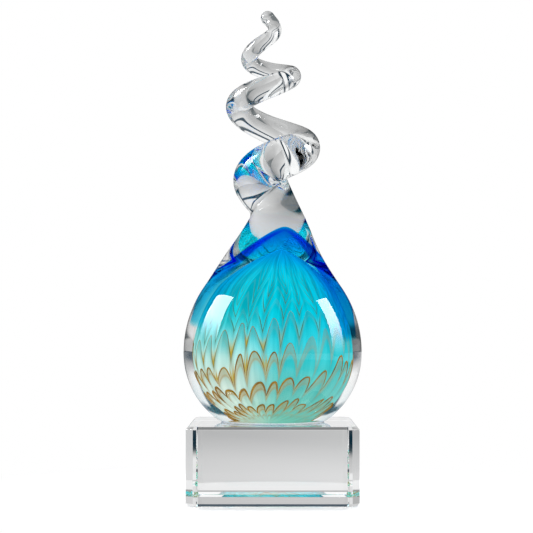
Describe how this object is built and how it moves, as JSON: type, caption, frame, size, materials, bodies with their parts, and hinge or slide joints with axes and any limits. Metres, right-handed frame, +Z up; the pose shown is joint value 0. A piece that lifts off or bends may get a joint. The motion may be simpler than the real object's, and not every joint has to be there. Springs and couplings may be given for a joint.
{
  "type": "glass ornament",
  "caption": "Clear glass teardrop ornament with a patterned aqua heart, blue veil and coiled glass tail, bonded to a bevelled crystal block for display or engraving.",
  "frame": {"origin": "centre of the crystal block's underside", "axes": "+Z up along the axis of the teardrop, -Y towards the viewer of the picture, +X to the viewer's right"},
  "size_m": [0.097, 0.097, 0.2662],
  "materials": {
    "crystal": "polished",
    "adhesive": "clear, cured",
    "opal_glass": "opaque white glass, solid",
    "aqua_glass": "dense turquoise glass with amber trails",
    "clear_glass": "fire polished",
    "cobalt_glass": "transparent blue glass"
  },
  "bodies": {
    "root": {"crystal_base": "crystal", "bond_film": "adhesive", "opal_core": "opal_glass", "aqua_overlay": "aqua_glass", "inner_gather": "clear_glass", "cobalt_veil": "cobalt_glass", "clear_casing": "clear_glass", "twist_tail": "clear_glass"}
  },
  "joints": []
}
